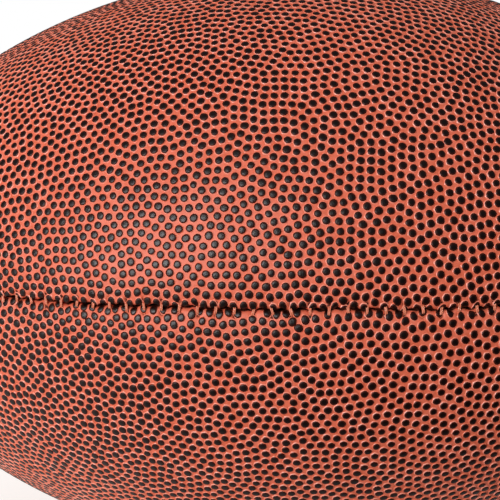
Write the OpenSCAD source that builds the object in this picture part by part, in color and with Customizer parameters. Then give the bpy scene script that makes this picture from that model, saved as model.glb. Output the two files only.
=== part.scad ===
// American football: four lined panels sewn edge to edge over a rubber bladder and closed with a lace.
// The ball lies on its belly and the origin is its lowest point, under the middle of the belly.
// X runs from tip to tip and Z points up through the lacing.

/* [Ball] */
// Length from tip to tip
ball_length = 285; // [275:1:295]
// Diameter at the middle of the belly
ball_diameter = 171; // [164:1:176]
// Radius of the two rounded tips
tip_r = 20; // [16:1:24]
// Radius of the shoulders between belly and tips
shoulder_r = 58; // [50:1:70]
// Angle from the axis at which the tip's arc hands over to the shoulder's arc
tip_angle = 13; // [9:0.5:18]

/* [Cover] */
// Thickness of the cover material
cover_t = 1.8; // [1.5:0.1:2.2]
// Distance between the turned-in edges of two panels
seam_gap = 0.5; // [0.3:0.1:0.9]
// Radius of the rolled edge where a panel turns into a seam
lip_r = 1.6; // [1.1:0.1:1.8]
// Depth of the turned-in edges, measured from the ball's surface
seam_allowance = 6; // [5:0.5:8]

/* [Lining] */
// Thickness of the cloth lining
lining_t = 0.8; // [0.5:0.1:1.2]
// Clearance between neighbouring layers
ply_gap = 0.1; // [0.05:0.05:0.2]

/* [Stitching] */
// Distance between stitches along a seam
stitch_pitch = 4; // [3.5:0.5:6]
// Diameter of the sewing thread
thread_d = 0.7; // [0.5:0.1:0.8]
// Diameter of the needle holes
needle_hole_d = 0.9; // [0.9:0.1:1.1]
// Width of the thread where it lies flat along the seam
thread_run_w = 1; // [0.9:0.1:1.2]
// Depth of the stitches below the inner face of the cover
stitch_drop = 0.4; // [0.4:0.1:0.8]
// Length of seam without stitches at each tip
tip_reserve = 14; // [13:1:18]

/* [Lacing] */
// Number of lace crossings
lace_crossings = 8; // [5:1:8]
// Distance between crossings along the ball
lace_pitch = 12.5; // [11:0.5:13]
// Distance across the seam between the two holes of a crossing
lace_hole_span = 20; // [18:1:24]
// Distance from the last crossing to the end hole
end_hole_reach = 10; // [9:0.5:12]
// Width of the flat lace
lace_w = 4.4; // [3.6:0.1:4.8]
// Thickness of the flat lace
lace_t = 1.8; // [1.4:0.1:2]
// Clearance round the lace
lace_clearance = 0.3; // [0.2:0.05:0.4]
// Bend radius of the lace at the rim of a hole
lace_bend_r = 1.9; // [1.7:0.1:2.2]
// Length of the lace ends that are tucked inside
lace_tail = 7; // [6:0.5:10]
// Thickness of the facing strips under the lace holes
facing_t = 1.4; // [1:0.1:2]
// Width of each facing strip
facing_w = 14; // [13:0.5:18]
// Thickness of the tongue between the lace and the bladder
tongue_t = 1.2; // [0.8:0.1:1.6]
// Width of the tongue
tongue_w = 36; // [30:1:40]

/* [Bladder] */
// Wall thickness of the bladder
bladder_t = 0.9; // [0.6:0.1:1.2]

/* [Valve] */
// Angle from the lacing round to the valve, towards the rear seam
valve_angle = 45; // [35:1:55]
// Diameter of the valve stem where it passes through the cover
stem_d = 8; // [7:0.5:10]
// Clearance round the valve stem
stem_clearance = 0.4; // [0.2:0.1:0.6]
// Depth of the top of the valve below the surface
valve_recess = 0.4; // [0.2:0.1:0.8]
// Diameter of the valve flange inside the bladder
valve_flange_d = 22; // [16:1:26]
// Thickness of the valve flange
valve_flange_t = 1.4; // [1:0.1:2]
// Length of the valve from its top to its inner end
valve_length = 14; // [12:0.5:18]
// Diameter of the sealing plug
plug_d = 5; // [4:0.1:5.5]
// Length of the sealing plug
plug_length = 9; // [7:0.5:10]
// Diameter of the needle bore
needle_bore_d = 2.1; // [2:0.1:2.4]

/* [Hidden] */
$fn = 180;

// Every cutting tool runs this far past what it cuts
overrun = 3;

// Profile of the ball: a belly arc, a shoulder arc and a tip arc that run smoothly into each other.
// Each point is written as distance along the axis and distance from the axis.
half_length = ball_length / 2;
ball_r = ball_diameter / 2;
tip_c = [half_length - tip_r, 0];
shoulder_c = tip_c - (shoulder_r - tip_r) * [cos(tip_angle), sin(tip_angle)];
// The belly's centre stands belly_r below the middle of the belly, and belly_r - shoulder_r from the
// shoulder's centre, which gives its radius
shoulder_drop = ball_r - shoulder_c[1];
belly_r = (shoulder_c[0] * shoulder_c[0] + shoulder_drop * shoulder_drop - shoulder_r * shoulder_r)
    / (2 * (shoulder_drop - shoulder_r));
belly_c = [0, ball_r - belly_r];
// Angle of the surface normal where the belly's arc hands over to the shoulder's, measured from the axis
shoulder_angle = atan2(shoulder_c[1] - belly_c[1], shoulder_c[0] - belly_c[0]);
tip_steps = 3;
shoulder_steps = 6;
belly_steps = 13;

function arc_step(start, end, steps) = [for (i = [0:steps - 1]) start + (end - start) * i / steps];
quarter_angles = concat(
    arc_step(0, tip_angle, tip_steps),
    arc_step(tip_angle, shoulder_angle, shoulder_steps),
    arc_step(shoulder_angle, 90, belly_steps)
);
last = len(quarter_angles) - 1;
// Normal angles from the right tip over the belly to the left tip
seam_angles = concat(
    quarter_angles, [90], [for (i = [last:-1:0]) 180 - quarter_angles[i]]
);

// Point of the profile with this normal angle, at a depth below the surface
function right_point(angle, depth) =
    angle < tip_angle ? tip_c + (tip_r - depth) * [cos(angle), sin(angle)]
    : angle < shoulder_angle ? shoulder_c + (shoulder_r - depth) * [cos(angle), sin(angle)]
    : belly_c + (belly_r - depth) * [cos(angle), sin(angle)];
function profile_point(angle, depth) =
    angle <= 90 ? right_point(angle, depth)
    : let (p = right_point(180 - angle, depth)) [-p[0], p[1]];

// Lengths along the seam, from the middle of the belly, and the normal angle there
belly_run = (90 - shoulder_angle) * PI / 180 * belly_r;
shoulder_run = (shoulder_angle - tip_angle) * PI / 180 * shoulder_r;
tip_run = tip_angle * PI / 180 * tip_r;
half_seam = belly_run + shoulder_run + tip_run;
function angle_of_run(run) =
    run <= belly_run ? 90 - run / belly_r * 180 / PI
    : run <= belly_run + shoulder_run ? shoulder_angle - (run - belly_run) / shoulder_r * 180 / PI
    : tip_angle - (run - belly_run - shoulder_run) / tip_r * 180 / PI;
function angle_at(place) = place >= 0 ? angle_of_run(place) : 180 - angle_of_run(-place);

// Solid inside of the ball's surface, shrunk by a depth
module ball_solid(depth) {
    rim = [for (a = seam_angles) let (p = profile_point(a, depth)) [p[1], p[0]]];
    tip = half_length - depth;
    inner_rim = [for (i = [1:len(rim) - 2]) rim[i]];
    rotate([0, 90, 0])
        rotate_extrude()
            polygon(concat([[0, tip]], inner_rim, [[0, -tip]]));
}

// Outline of the ball seen square to a seam plane, shrunk by a depth
module ball_outline(depth) {
    upper = [for (a = seam_angles) profile_point(a, depth)];
    lower = [for (i = [len(upper) - 2:-1:1]) [upper[i][0], -upper[i][1]]];
    polygon(concat(upper, lower));
}

// Everything in the seam plane that lies nearer to the surface than a depth
module rim_outline(depth) {
    difference() {
        square([ball_length + 2 * overrun, ball_diameter + 2 * overrun], center = true);
        ball_outline(depth);
    }
}

// Lifts the ball, which is modelled round its centre, so that its belly rests on the ground
module on_ground() {
    translate([0, 0, ball_r]) children();
}

// Swaps the two seam planes, the level one and the upright one
module other_seam() {
    mirror([0, 1, -1]) children();
}

// Puts a shape made for the upper rear quarter into one of the four quarters
module in_quarter(front, low) {
    mirror([0, front ? 1 : 0, 0])
        mirror([0, 0, low ? 1 : 0])
            children();
}

// Quarter of space above and behind, kept clear of both seam planes
module quarter_space(inset) {
    translate([-half_length - overrun, inset, inset])
        cube([ball_length + 2 * overrun, ball_r + overrun, ball_r + overrun]);
}

// Stitching: holes go through the turned-in edges just below the wall of the cover
stitch_depth = cover_t + stitch_drop + thread_run_w / 2;
edge_face = seam_gap / 2;
edge_back = edge_face + cover_t;
thread_seat = edge_back + ply_gap / 2;
thread_back = thread_seat + thread_d;
stitched_half = half_seam - tip_reserve;

// Lacing: holes stand in pairs, with one more hole on the seam at each end
hole_offset = lace_hole_span / 2;
lace_hole_d = lace_w + 2 * lace_clearance;
row_half = (lace_crossings - 1) * lace_pitch / 2;
end_hole_place = row_half + end_hole_reach;
lacing_half = end_hole_place + lace_tail + 2 * lace_clearance;
crossing_places = [for (i = [0:lace_crossings - 1]) row_half - i * lace_pitch];

// Depths of the layers below the surface
lining_depth = cover_t + ply_gap;
under_lining = lining_depth + lining_t + ply_gap;
facing_depth = under_lining;
under_facing = facing_depth + facing_t;
inner_lace_depth = under_facing + lace_clearance + lace_t / 2;
tongue_depth = inner_lace_depth + lace_t / 2 + lace_clearance;
under_tongue = tongue_depth + tongue_t + ply_gap;

// Places of the stitches along a seam, leaving out a middle stretch
function stitch_places(skip) = [
    for (i = [-ceil(half_seam / stitch_pitch):ceil(half_seam / stitch_pitch)])
        let (place = (i + 0.5) * stitch_pitch)
        if (abs(place) < stitched_half && abs(place) > skip) place
];
all_stitches = stitch_places(0);
top_stitches = stitch_places(lacing_half + stitch_pitch);

// Round holes or threads of a seam, seen square to the seam plane
module stitch_dots(places, d) {
    for (place = places)
        translate(profile_point(angle_at(place), stitch_depth))
            circle(d = d, $fn = 16);
}

// Flat strip of thread along a seam between two places, seen square to the seam plane
module thread_strip(from, to) {
    steps = ceil((to - from) / (3 * stitch_pitch));
    angles = [for (i = [0:steps]) angle_at(from + (to - from) * i / steps)];
    top = [for (a = angles) profile_point(a, stitch_depth - thread_run_w / 2)];
    low = [for (i = [steps:-1:0]) profile_point(angles[i], stitch_depth + thread_run_w / 2)];
    polygon(concat(top, low));
}

// Turned-in edge along the level seam, with its needle holes
module turned_edge(places) {
    intersection() {
        translate([0, 0, edge_face])
            linear_extrude(height = cover_t)
                difference() {
                    rim_outline(seam_allowance);
                    stitch_dots(places, needle_hole_d);
                }
        ball_solid(cover_t / 2);
        quarter_space(edge_face);
    }
}

// Tool that rolls the outer edge of a panel down into the level seam.
// Its section is written as distance from the seam plane and depth below the surface.
roll_steps = 3;
roll_c = [edge_face + lip_r, lip_r];
roll = [for (i = [0:roll_steps])
    let (a = i * 90 / roll_steps) roll_c - lip_r * [cos(a), sin(a)]];
roll_in = roll[0] - (roll[1] - roll[0]) * 0.5;
roll_out = roll[roll_steps] + (roll[roll_steps] - roll[roll_steps - 1]);
roll_section = concat(
    [roll_in], [for (i = [1:roll_steps - 1]) roll[i]], [roll_out, [-edge_face, roll_out[1]]],
    [[-edge_face, roll_in[1]]]
);
// The tool starts and ends a little past the two tips
past_tip = asin(seam_gap / tip_r) * 2;
roll_angles = concat([-past_tip], seam_angles, [180 + past_tip]);

function roll_ring(angle) = [
    for (q = roll_section)
        let (p = profile_point(angle, q[1])) [p[0], p[1], q[0]]
];

module edge_roll() {
    sides = len(roll_section);
    rings = len(roll_angles);
    points = [for (a = roll_angles) each roll_ring(a)];
    strips = [
        for (i = [0:rings - 2], j = [0:sides - 1])
            [(i + 1) * sides + j, (i + 1) * sides + (j + 1) % sides,
             i * sides + (j + 1) % sides, i * sides + j]
    ];
    first = [for (j = [0:sides - 1]) j];
    final = [for (j = [sides - 1:-1:0]) (rings - 1) * sides + j];
    polyhedron(points, concat(strips, [first], [final]));
}

// One panel of the cover, before lace and valve holes
module cover_panel(upright_places) {
    difference() {
        union() {
            intersection() {
                difference() {
                    ball_solid(0);
                    ball_solid(cover_t);
                }
                quarter_space(edge_face);
            }
            turned_edge(all_stitches);
            other_seam() turned_edge(upright_places);
        }
        edge_roll();
        other_seam() edge_roll();
    }
}

// Moves a shape from the origin to a place on the belly, with Z pointing out of the ball
module on_belly(place, turn) {
    lean = place / belly_r * 180 / PI;
    rotate([-turn, 0, 0])
        translate([belly_r * sin(lean), 0, ball_r - belly_r + belly_r * cos(lean)])
            rotate([0, lean, 0])
                children();
}

function turn_of(offset) = offset / ball_r * 180 / PI;

// All lace holes, cut from outside to below the facing
module lace_holes() {
    depth = under_facing + overrun;
    for (place = crossing_places, side = [-1, 1])
        on_belly(place, side * turn_of(hole_offset))
            translate([0, 0, -depth])
                cylinder(d = lace_hole_d, h = depth + overrun, $fn = 32);
    for (end = [-1, 1])
        on_belly(end * end_hole_place, 0)
            translate([0, 0, -depth])
                cylinder(d = lace_hole_d, h = depth + overrun, $fn = 32);
}

// Below the facing the turned-in edges are trimmed away, so that the lace can run across
module lacing_trim() {
    width = 2 * (edge_back + lace_clearance);
    intersection() {
        translate([-lacing_half, -width / 2, 0])
            cube([2 * lacing_half, width, ball_r]);
        ball_solid(under_facing);
    }
}

module upper_cover() {
    difference() {
        cover_panel(top_stitches);
        lace_holes();
        lacing_trim();
    }
}

// Round hole for the valve stem through cover, lining and bladder
module valve_hole() {
    depth = under_tongue + overrun;
    on_belly(0, valve_angle)
        translate([0, 0, -depth])
            cylinder(d = stem_d + 2 * stem_clearance, h = depth + overrun, $fn = 48);
}

module upper_front_cover() {
    color("#e8806a") on_ground() in_quarter(true, false) upper_cover();
}

module upper_rear_cover() {
    color("#e8806a")
        on_ground() difference() {
            upper_cover();
            valve_hole();
        }
}

module lower_front_cover() {
    color("#d8705c") on_ground() in_quarter(true, true) cover_panel(all_stitches);
}

module lower_rear_cover() {
    color("#d8705c") on_ground() in_quarter(false, true) cover_panel(all_stitches);
}

// One lining: a quarter shell that stops short of the seam threads
lining_inset = thread_back + ply_gap;

module lining_panel() {
    intersection() {
        difference() {
            ball_solid(lining_depth);
            ball_solid(lining_depth + lining_t);
        }
        quarter_space(lining_inset);
    }
}

module upper_front_lining() {
    color("#e9e2d0")
        on_ground() in_quarter(true, false)
            difference() {
                lining_panel();
                lace_holes();
            }
}

module upper_rear_lining() {
    color("#e9e2d0")
        on_ground() difference() {
            lining_panel();
            lace_holes();
            valve_hole();
        }
}

module lower_front_lining() {
    color("#e9e2d0") on_ground() in_quarter(true, true) lining_panel();
}

module lower_rear_lining() {
    color("#e9e2d0") on_ground() in_quarter(false, true) lining_panel();
}

// One thread of the lockstitch: a flat run behind the turned-in edge and a leg through every hole.
// The legs of the two threads of a seam meet in the seam plane.
module seam_thread(places, stretches) {
    color("#f0907a") {
        translate([0, 0, thread_seat])
            linear_extrude(height = thread_d)
                for (stretch = stretches)
                    thread_strip(stretch[0], stretch[1]);
        linear_extrude(height = thread_seat + thread_d / 2)
            stitch_dots(places, thread_d);
    }
}

// A run ends half a stitch past its last leg
function run_end(places) = max(places) + stitch_pitch / 2;
whole_run = [[-run_end(all_stitches), run_end(all_stitches)]];
lacing_edge = min([for (p = top_stitches) if (p > 0) p]) - stitch_pitch / 2;
split_run = [[-run_end(top_stitches), -lacing_edge], [lacing_edge, run_end(top_stitches)]];

module front_needle_thread() {
    on_ground() in_quarter(true, false) seam_thread(all_stitches, whole_run);
}

module front_bobbin_thread() {
    on_ground() in_quarter(true, true) seam_thread(all_stitches, whole_run);
}

module rear_needle_thread() {
    on_ground() in_quarter(false, false) seam_thread(all_stitches, whole_run);
}

module rear_bobbin_thread() {
    on_ground() in_quarter(false, true) seam_thread(all_stitches, whole_run);
}

module bottom_needle_thread() {
    on_ground() in_quarter(true, true) other_seam() seam_thread(all_stitches, whole_run);
}

module bottom_bobbin_thread() {
    on_ground() in_quarter(false, true) other_seam() seam_thread(all_stitches, whole_run);
}

module top_needle_thread() {
    on_ground() in_quarter(true, false) other_seam() seam_thread(top_stitches, split_run);
}

module top_bobbin_thread() {
    on_ground() in_quarter(false, false) other_seam() seam_thread(top_stitches, split_run);
}

// Layer of the ball between two depths, cut to a rectangle over the lacing
module lacing_layer(depth, t, x_half, y_from, y_to) {
    intersection() {
        difference() {
            ball_solid(depth);
            ball_solid(depth + t);
        }
        translate([-x_half, y_from, 0])
            cube([2 * x_half, y_to - y_from, ball_r]);
    }
}

// Strip that backs one row of lace holes
facing_inset = edge_back + lace_clearance;

module facing_strip() {
    difference() {
        lacing_layer(facing_depth, facing_t, lacing_half, facing_inset, facing_inset + facing_w);
        lace_holes();
    }
}

module front_lace_facing() {
    color("#7a3b2e") on_ground() in_quarter(true, false) facing_strip();
}

module rear_lace_facing() {
    color("#7a3b2e") on_ground() facing_strip();
}

module lace_tongue() {
    color("#4a2a22")
        on_ground() lacing_layer(tongue_depth, tongue_t, lacing_half, -tongue_w / 2, tongue_w / 2);
}

// The lace is one flat cord. It starts inside, comes up the end hole at the left, runs along the seam,
// goes down the end hole at the right and comes back in crossings that pass over its own first run.
// Its rings are written as place along the ball, offset across the seam, height above the surface,
// and the angle of the lace's width, measured from the ball's length.
spine_height = lace_clearance + lace_t / 2;
crossing_lift_share = 1.5;
crossing_lift = lace_t * crossing_lift_share;
rim_height = lace_clearance + lace_t / 2;
bend_step = 30;
rise_shares = [0.35, 0.7, 1];
spine_steps = 10;

function unit(v) = v / norm(v);
function smooth(q) = q * q * (3 - 2 * q);

// Rings of the bend at a hole, where the lace turns from the hole into a run along the direction d
function bend(hole, d, side, height, spin, inward) = [
    for (a = inward ? [0:bend_step:90] : [90:-bend_step:0])
        let (q = hole + d * lace_bend_r * (1 - cos(a)))
        [q[0], q[1], height - side * lace_bend_r * (1 - sin(a)), spin]
];

// Run of the lace from one hole to another, level over or under the cover
function level_run(from, to, side, height, spin, steps) =
    let (
        d = unit(to - from),
        p = from + d * lace_bend_r,
        q = to - d * lace_bend_r,
        middle = [for (i = [1:steps - 1]) let (m = p + (q - p) * i / steps) [m[0], m[1], height, spin]]
    )
    concat(
        bend(from, d, side, height, spin, true),
        middle,
        bend(to, -d, side, height, spin, false)
    );

// Crossing over the seam, which rises onto the run along the seam and comes down again
function crossing(place) =
    let (
        from = [place, -hole_offset],
        to = [place, hole_offset],
        start = hole_offset - lace_bend_r,
        end = lace_w / 2 + lace_clearance,
        up = [for (s = rise_shares)
            [place, start + (end - start) * s, rim_height + crossing_lift * smooth(s), 180]],
        rise = [for (r = up) [r[0], -r[1], r[2], r[3]]],
        fall = [for (i = [len(up) - 1:-1:0]) up[i]]
    )
    concat(
        bend(from, [0, 1], 1, rim_height, 180, true),
        rise,
        [[place, 0, rim_height + crossing_lift, 180]],
        fall,
        bend(to, [0, -1], 1, rim_height, 180, false)
    );

// Run under the facing, from a hole to the next one
function inner_run(from, to) =
    let (d = to - from)
    level_run(from, to, -1, -inner_lace_depth, atan2(d[1], d[0]) + 270, 2);

// Loose end under the facing, from a hole to where the lace stops
function tail(hole, d, spin) =
    let (end = hole + d * lace_tail)
    concat(
        bend(hole, d, -1, -inner_lace_depth, spin, true),
        [[end[0], end[1], -inner_lace_depth, spin]]
    );

left_end = [-end_hole_place, 0];
right_end = [end_hole_place, 0];
last_crossing = lace_crossings - 1;
first_tail = tail(left_end, [-1, 0], 90);
final_direction = unit([-end_hole_reach / 2, -hole_offset]);
final_tail = tail(
    [crossing_places[last_crossing], hole_offset],
    final_direction,
    atan2(final_direction[1], final_direction[0]) + 270
);
spine_rings = level_run(left_end, right_end, 1, spine_height, 90, spine_steps);
crossing_rings = [for (place = crossing_places) crossing(place)];
lace_rings = concat(
    [for (i = [len(first_tail) - 1:-1:0]) first_tail[i]],
    spine_rings,
    inner_run(right_end, [crossing_places[0], -hole_offset]),
    [for (i = [0:last_crossing]) each concat(
        crossing_rings[i],
        i < last_crossing
            ? inner_run([crossing_places[i], hole_offset], [crossing_places[i + 1], -hole_offset])
            : []
    )],
    final_tail
);

// Section of the lace, as shares of half its width and half its thickness
lace_section_shares = [
    [1, -0.45], [1, 0.45], [0.78, 1], [-0.78, 1], [-1, 0.45], [-1, -0.45], [-0.78, -1], [0.78, -1]
];

// Place in space and the two directions along and across the ball at a ring
function lace_centre(r) =
    let (
        lean = r[0] / belly_r * 180 / PI,
        turn = turn_of(r[1]),
        out = ball_r - belly_r + (belly_r + r[2]) * cos(lean)
    )
    [(belly_r + r[2]) * sin(lean), out * sin(turn), out * cos(turn)];
function along_ball(r) =
    let (lean = r[0] / belly_r * 180 / PI, turn = turn_of(r[1]))
    [cos(lean), -sin(lean) * sin(turn), -sin(lean) * cos(turn)];
function across_ball(r) = let (turn = turn_of(r[1])) [0, cos(turn), -sin(turn)];

lace_centres = [for (r = lace_rings) lace_centre(r)];

function lace_ring(i) =
    let (
        ring = lace_rings[i],
        before = lace_centres[max(i - 1, 0)],
        after = lace_centres[min(i + 1, len(lace_centres) - 1)],
        run = unit(after - before),
        flat = along_ball(ring) * cos(ring[3]) + across_ball(ring) * sin(ring[3]),
        wide = unit(flat - run * (flat * run)),
        thick = cross(run, wide)
    )
    [for (q = lace_section_shares)
        lace_centres[i] + wide * q[0] * lace_w / 2 + thick * q[1] * lace_t / 2];

// Least gap that the lace keeps to itself, where a crossing passes over the run along the seam
spine_top = spine_height + lace_t / 2;
crossing_low = min([
    for (r = crossing_rings[0]) if (abs(r[1]) <= lace_w / 2) r[2] - lace_t / 2
]);
echo(least_gap_of_lace_to_itself = crossing_low - spine_top);

module lace() {
    sides = len(lace_section_shares);
    rings = len(lace_rings);
    points = [for (i = [0:rings - 1]) each lace_ring(i)];
    strips = [
        for (i = [0:rings - 2], j = [0:sides - 1])
            let (a = i * sides + j, b = i * sides + (j + 1) % sides)
            each [[a, a + sides, b + sides], [a, b + sides, b]]
    ];
    first = [for (j = [0:sides - 1]) j];
    final = [for (j = [sides - 1:-1:0]) (rings - 1) * sides + j];
    color("#f2efe8")
        on_ground() polyhedron(points, concat(strips, [first], [final]));
}

// Outer or inner surface of the bladder. It swells between the seams, is drawn in along the turned-in
// edges and has a saddle under the lacing. The inner surface is grown inwards by the wall.
module bladder_form(wall) {
    groove_half = thread_back + ply_gap + wall;
    groove_depth = seam_allowance + ply_gap + wall;
    saddle_half = lacing_half + lace_clearance + wall;
    saddle_w = 2 * (max(tongue_w / 2, facing_inset + facing_w) + lace_clearance + wall);
    difference() {
        ball_solid(under_lining + wall);
        linear_extrude(height = 2 * groove_half, center = true)
            rim_outline(groove_depth);
        other_seam()
            linear_extrude(height = 2 * groove_half, center = true)
                rim_outline(groove_depth);
        difference() {
            translate([-saddle_half, -saddle_w / 2, 0])
                cube([2 * saddle_half, saddle_w, ball_r + overrun]);
            ball_solid(under_tongue + wall);
        }
    }
}

module bladder() {
    color("#2b2b2e")
        on_ground() difference() {
            bladder_form(0);
            bladder_form(bladder_t);
            valve_hole();
        }
}

// Rubber valve: a stem through the cover, a flange under the bladder wall and a neck inside
valve_flange_top = under_lining + bladder_t + ply_gap;
plug_clearance = ply_gap / 2;

module valve_body() {
    end = valve_recess + valve_length;
    color("#1c1c1e")
        on_ground() difference() {
            union() {
                on_belly(0, valve_angle)
                    translate([0, 0, -end])
                        cylinder(d = stem_d, h = valve_length, $fn = 48);
                intersection() {
                    on_belly(0, valve_angle)
                        translate([0, 0, -valve_flange_top - valve_flange_t])
                            cylinder(d = valve_flange_d, h = valve_flange_t + overrun, $fn = 64);
                    ball_solid(valve_flange_top);
                }
            }
            on_belly(0, valve_angle) {
                translate([0, 0, -valve_recess - plug_length])
                    cylinder(d = plug_d + 2 * plug_clearance, h = plug_length + overrun, $fn = 48);
                translate([0, 0, -end - overrun])
                    cylinder(d = needle_bore_d, h = valve_length + overrun, $fn = 32);
            }
        }
}

module valve_plug() {
    color("#5a5a5e")
        on_ground() on_belly(0, valve_angle)
            translate([0, 0, -valve_recess - plug_length])
                difference() {
                    cylinder(d = plug_d, h = plug_length, $fn = 48);
                    translate([0, 0, -overrun])
                        cylinder(d = needle_bore_d, h = plug_length + 2 * overrun, $fn = 32);
                }
}

upper_front_cover();
upper_rear_cover();
lower_front_cover();
lower_rear_cover();
upper_front_lining();
upper_rear_lining();
lower_front_lining();
lower_rear_lining();
front_needle_thread();
front_bobbin_thread();
rear_needle_thread();
rear_bobbin_thread();
bottom_needle_thread();
bottom_bobbin_thread();
top_needle_thread();
top_bobbin_thread();
front_lace_facing();
rear_lace_facing();
lace_tongue();
lace();
bladder();
valve_body();
valve_plug();
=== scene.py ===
"""Looks of a laced american football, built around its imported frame.

Lengths are in metres. A spot on the leather is given by its place, which is the distance along a seam
from the middle of the belly, and its turn, which is the angle about the long axis from the level seam.
"""

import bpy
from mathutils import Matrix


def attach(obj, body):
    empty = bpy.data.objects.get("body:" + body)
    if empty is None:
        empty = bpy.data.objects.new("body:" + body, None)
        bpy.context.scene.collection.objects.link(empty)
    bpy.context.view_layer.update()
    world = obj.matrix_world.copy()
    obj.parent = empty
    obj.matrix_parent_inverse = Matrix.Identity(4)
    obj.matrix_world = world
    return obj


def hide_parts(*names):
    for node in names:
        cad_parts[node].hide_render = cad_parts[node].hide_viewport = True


bl_info = {
    "name": "American Football",
    "version": (1, 0, 0),
    "blender": (4, 5, 0),
    "location": "View3D > Sidebar > Football",
    "description": "Dresses the frame of a football in pebbled leather, stitching and lace",
    "category": "Add Mesh",
}

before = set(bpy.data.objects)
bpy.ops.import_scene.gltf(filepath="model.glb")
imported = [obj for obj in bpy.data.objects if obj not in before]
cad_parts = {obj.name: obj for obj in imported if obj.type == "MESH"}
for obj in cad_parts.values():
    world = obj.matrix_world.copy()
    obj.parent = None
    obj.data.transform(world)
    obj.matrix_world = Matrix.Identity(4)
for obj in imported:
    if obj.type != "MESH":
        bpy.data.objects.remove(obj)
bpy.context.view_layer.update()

import math

import bpy
import numpy as np
from bpy.props import FloatProperty, FloatVectorProperty, IntProperty, PointerProperty
from mathutils import Matrix, Quaternion, Vector

MM = 0.001
QUARTER_TURN = math.pi / 2
FULL_TURN = 2 * math.pi
# Front or rear and upper or lower, as the signs of Y and Z
PANELS = {
    "upper_front": (-1, 1),
    "upper_rear": (1, 1),
    "lower_front": (-1, -1),
    "lower_rear": (1, -1),
}
# Sideways wander of a seam, as four sines: height in millimetres, length over a turn, and phase
WANDER = ((0.13, 5.9 * MM, 0.0), (0.13, 1.31 * MM, 1.0), (0.17, 0.61 * MM, 2.0), (0.10, 0.37 * MM, 0.0))
WANDER_REACH = 2.6 * MM
# Sides of the threads' and the lace's sections and of the hole cutters
THREAD_SIDES, LACE_SIDES, CUTTER_SIDES = 6, 24, 40
# First seeds of the random draws, to which each panel or seam adds its number
SCATTER_SEED, SHAPE_SEED, TONE_SEED, THREAD_SEED = 11, 101, 71, 31
# Standard deviations: a stitch's lean, the share of its reach, and a pebble's ovalness and wobble
LEAN_SPREAD, REACH_SPREAD, OVAL_SPREAD, WOBBLE_SPREAD = 0.26 * MM, 0.12, 0.035, 0.025


def length(name, millimetres, description):
    """A size of the ball, written in millimetres and shown with its unit."""
    return FloatProperty(name=name, description=description, default=millimetres * MM, min=0.0,
                         precision=5, subtype="DISTANCE", unit="LENGTH")


def angle(name, degrees, description):
    """An angle, written in degrees."""
    return FloatProperty(name=name, description=description, default=math.radians(degrees),
                         subtype="ANGLE")


def share(name, default, description):
    """A number without a unit."""
    return FloatProperty(name=name, description=description, default=default, precision=3)


def count(name, default, description):
    """A whole number."""
    return IntProperty(name=name, description=description, default=default)


def colour(name, default, description):
    """A colour as linear red, green and blue."""
    return FloatVectorProperty(name=name, description=description, default=default, size=3,
                               min=0.0, max=1.0, subtype="COLOR")


class FootballBody(bpy.types.PropertyGroup):
    """Sizes of the ball and of its sewn edges."""
    long_axis: length("Length", 285, "Length from tip to tip")
    diameter: length("Diameter", 171, "Diameter at the middle of the belly")
    tip_radius: length("Tip radius", 20, "Radius of the two rounded tips")
    shoulder_radius: length("Shoulder radius", 58, "Radius between belly and tips")
    tip_angle: angle("Tip angle", 13, "Where the tip's arc ends")
    leather: length("Leather", 1.8, "Thickness of the cover")
    allowance: length("Seam allowance", 6, "Depth of the turned-in edges")
    edge: length("Edge", 0.05, "Distance of a panel's edge from the seam plane at a stitch")
    gape: length("Gape", 0.26, "How much further off the edge is between two stitches")
    lip: length("Lip", 0.8, "Radius of the rolled edge")
    draw_depth: length("Draw depth", 0.9, "How deep the leather is drawn in at a seam")
    draw_width: length("Draw width", 2.2, "How far from a seam the leather is drawn in")
    fade: length("Tip fade", 14, "Radius below which the edges taper off at a tip")


class FootballPebbles(bpy.types.PropertyGroup):
    """Sizes and scatter of the pebbles."""
    pitch: length("Pitch", 2.29, "Distance between neighbouring pebbles")
    foot: length("Foot", 1.13, "Radius of a pebble where it leaves the leather")
    top: length("Top", 0.89, "Radius of the dark top")
    crown: length("Crown", 0.60, "Radius of the flatter middle of the top")
    height: length("Height", 0.30, "Height of a pebble")
    spread: share("Size spread", 0.045, "Standard deviation of the size")
    rounds: count("Rounds", 100, "Rounds of evening out the scatter")
    sides: count("Sides", 12, "Sides of the dark top, an even number")


class FootballStitches(bpy.types.PropertyGroup):
    """Sizes of the lockstitch."""
    pitch: length("Pitch", 4, "Distance between stitches")
    strand: length("Strand", 0.32, "Diameter of one strand")
    needle_reach: length("Needle reach", 0.70, "Needle thread's hole from the seam plane")
    bobbin_reach: length("Bobbin reach", 0.90, "Bobbin thread's hole from the seam plane")
    hole_reach: length("Hole reach", 1.28, "Needle hole from the seam plane")
    pull: length("Pull", 0.25, "How much a stitch draws in the leather")
    run_depth: length("Run depth", 2.7, "Depth of the thread behind the turned-in edge")
    run_offset: length("Run offset", 2.45, "Distance of that thread from the seam plane")
    tip_reserve: length("Tip reserve", 14, "Length of seam without stitches at each tip")


class FootballLace(bpy.types.PropertyGroup):
    """Sizes of the lace and of its holes, as in the frame."""
    crossings: count("Crossings", 8, "Lace crossings")
    pitch: length("Pitch", 12.5, "Distance between crossings")
    span: length("Span", 20, "Distance between the two holes of a crossing")
    end_reach: length("End reach", 10, "Distance from the last crossing to the end hole")
    width: length("Width", 4.4, "Width of the flat lace")
    thickness: length("Thickness", 1.8, "Thickness of the lace")
    clearance: length("Clearance", 0.3, "Clearance round the lace")
    bend: length("Bend", 1.9, "Bend radius at the rim of a hole")
    tail: length("Tail", 7, "Length of the tucked ends")
    inner_depth: length("Inner depth", 5.4, "Depth of the runs below the facing")
    valve_angle: angle("Valve angle", 45, "From the lacing to the valve")
    valve_hole: length("Valve hole", 8.8, "Diameter of the valve's hole in the cover")


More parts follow.
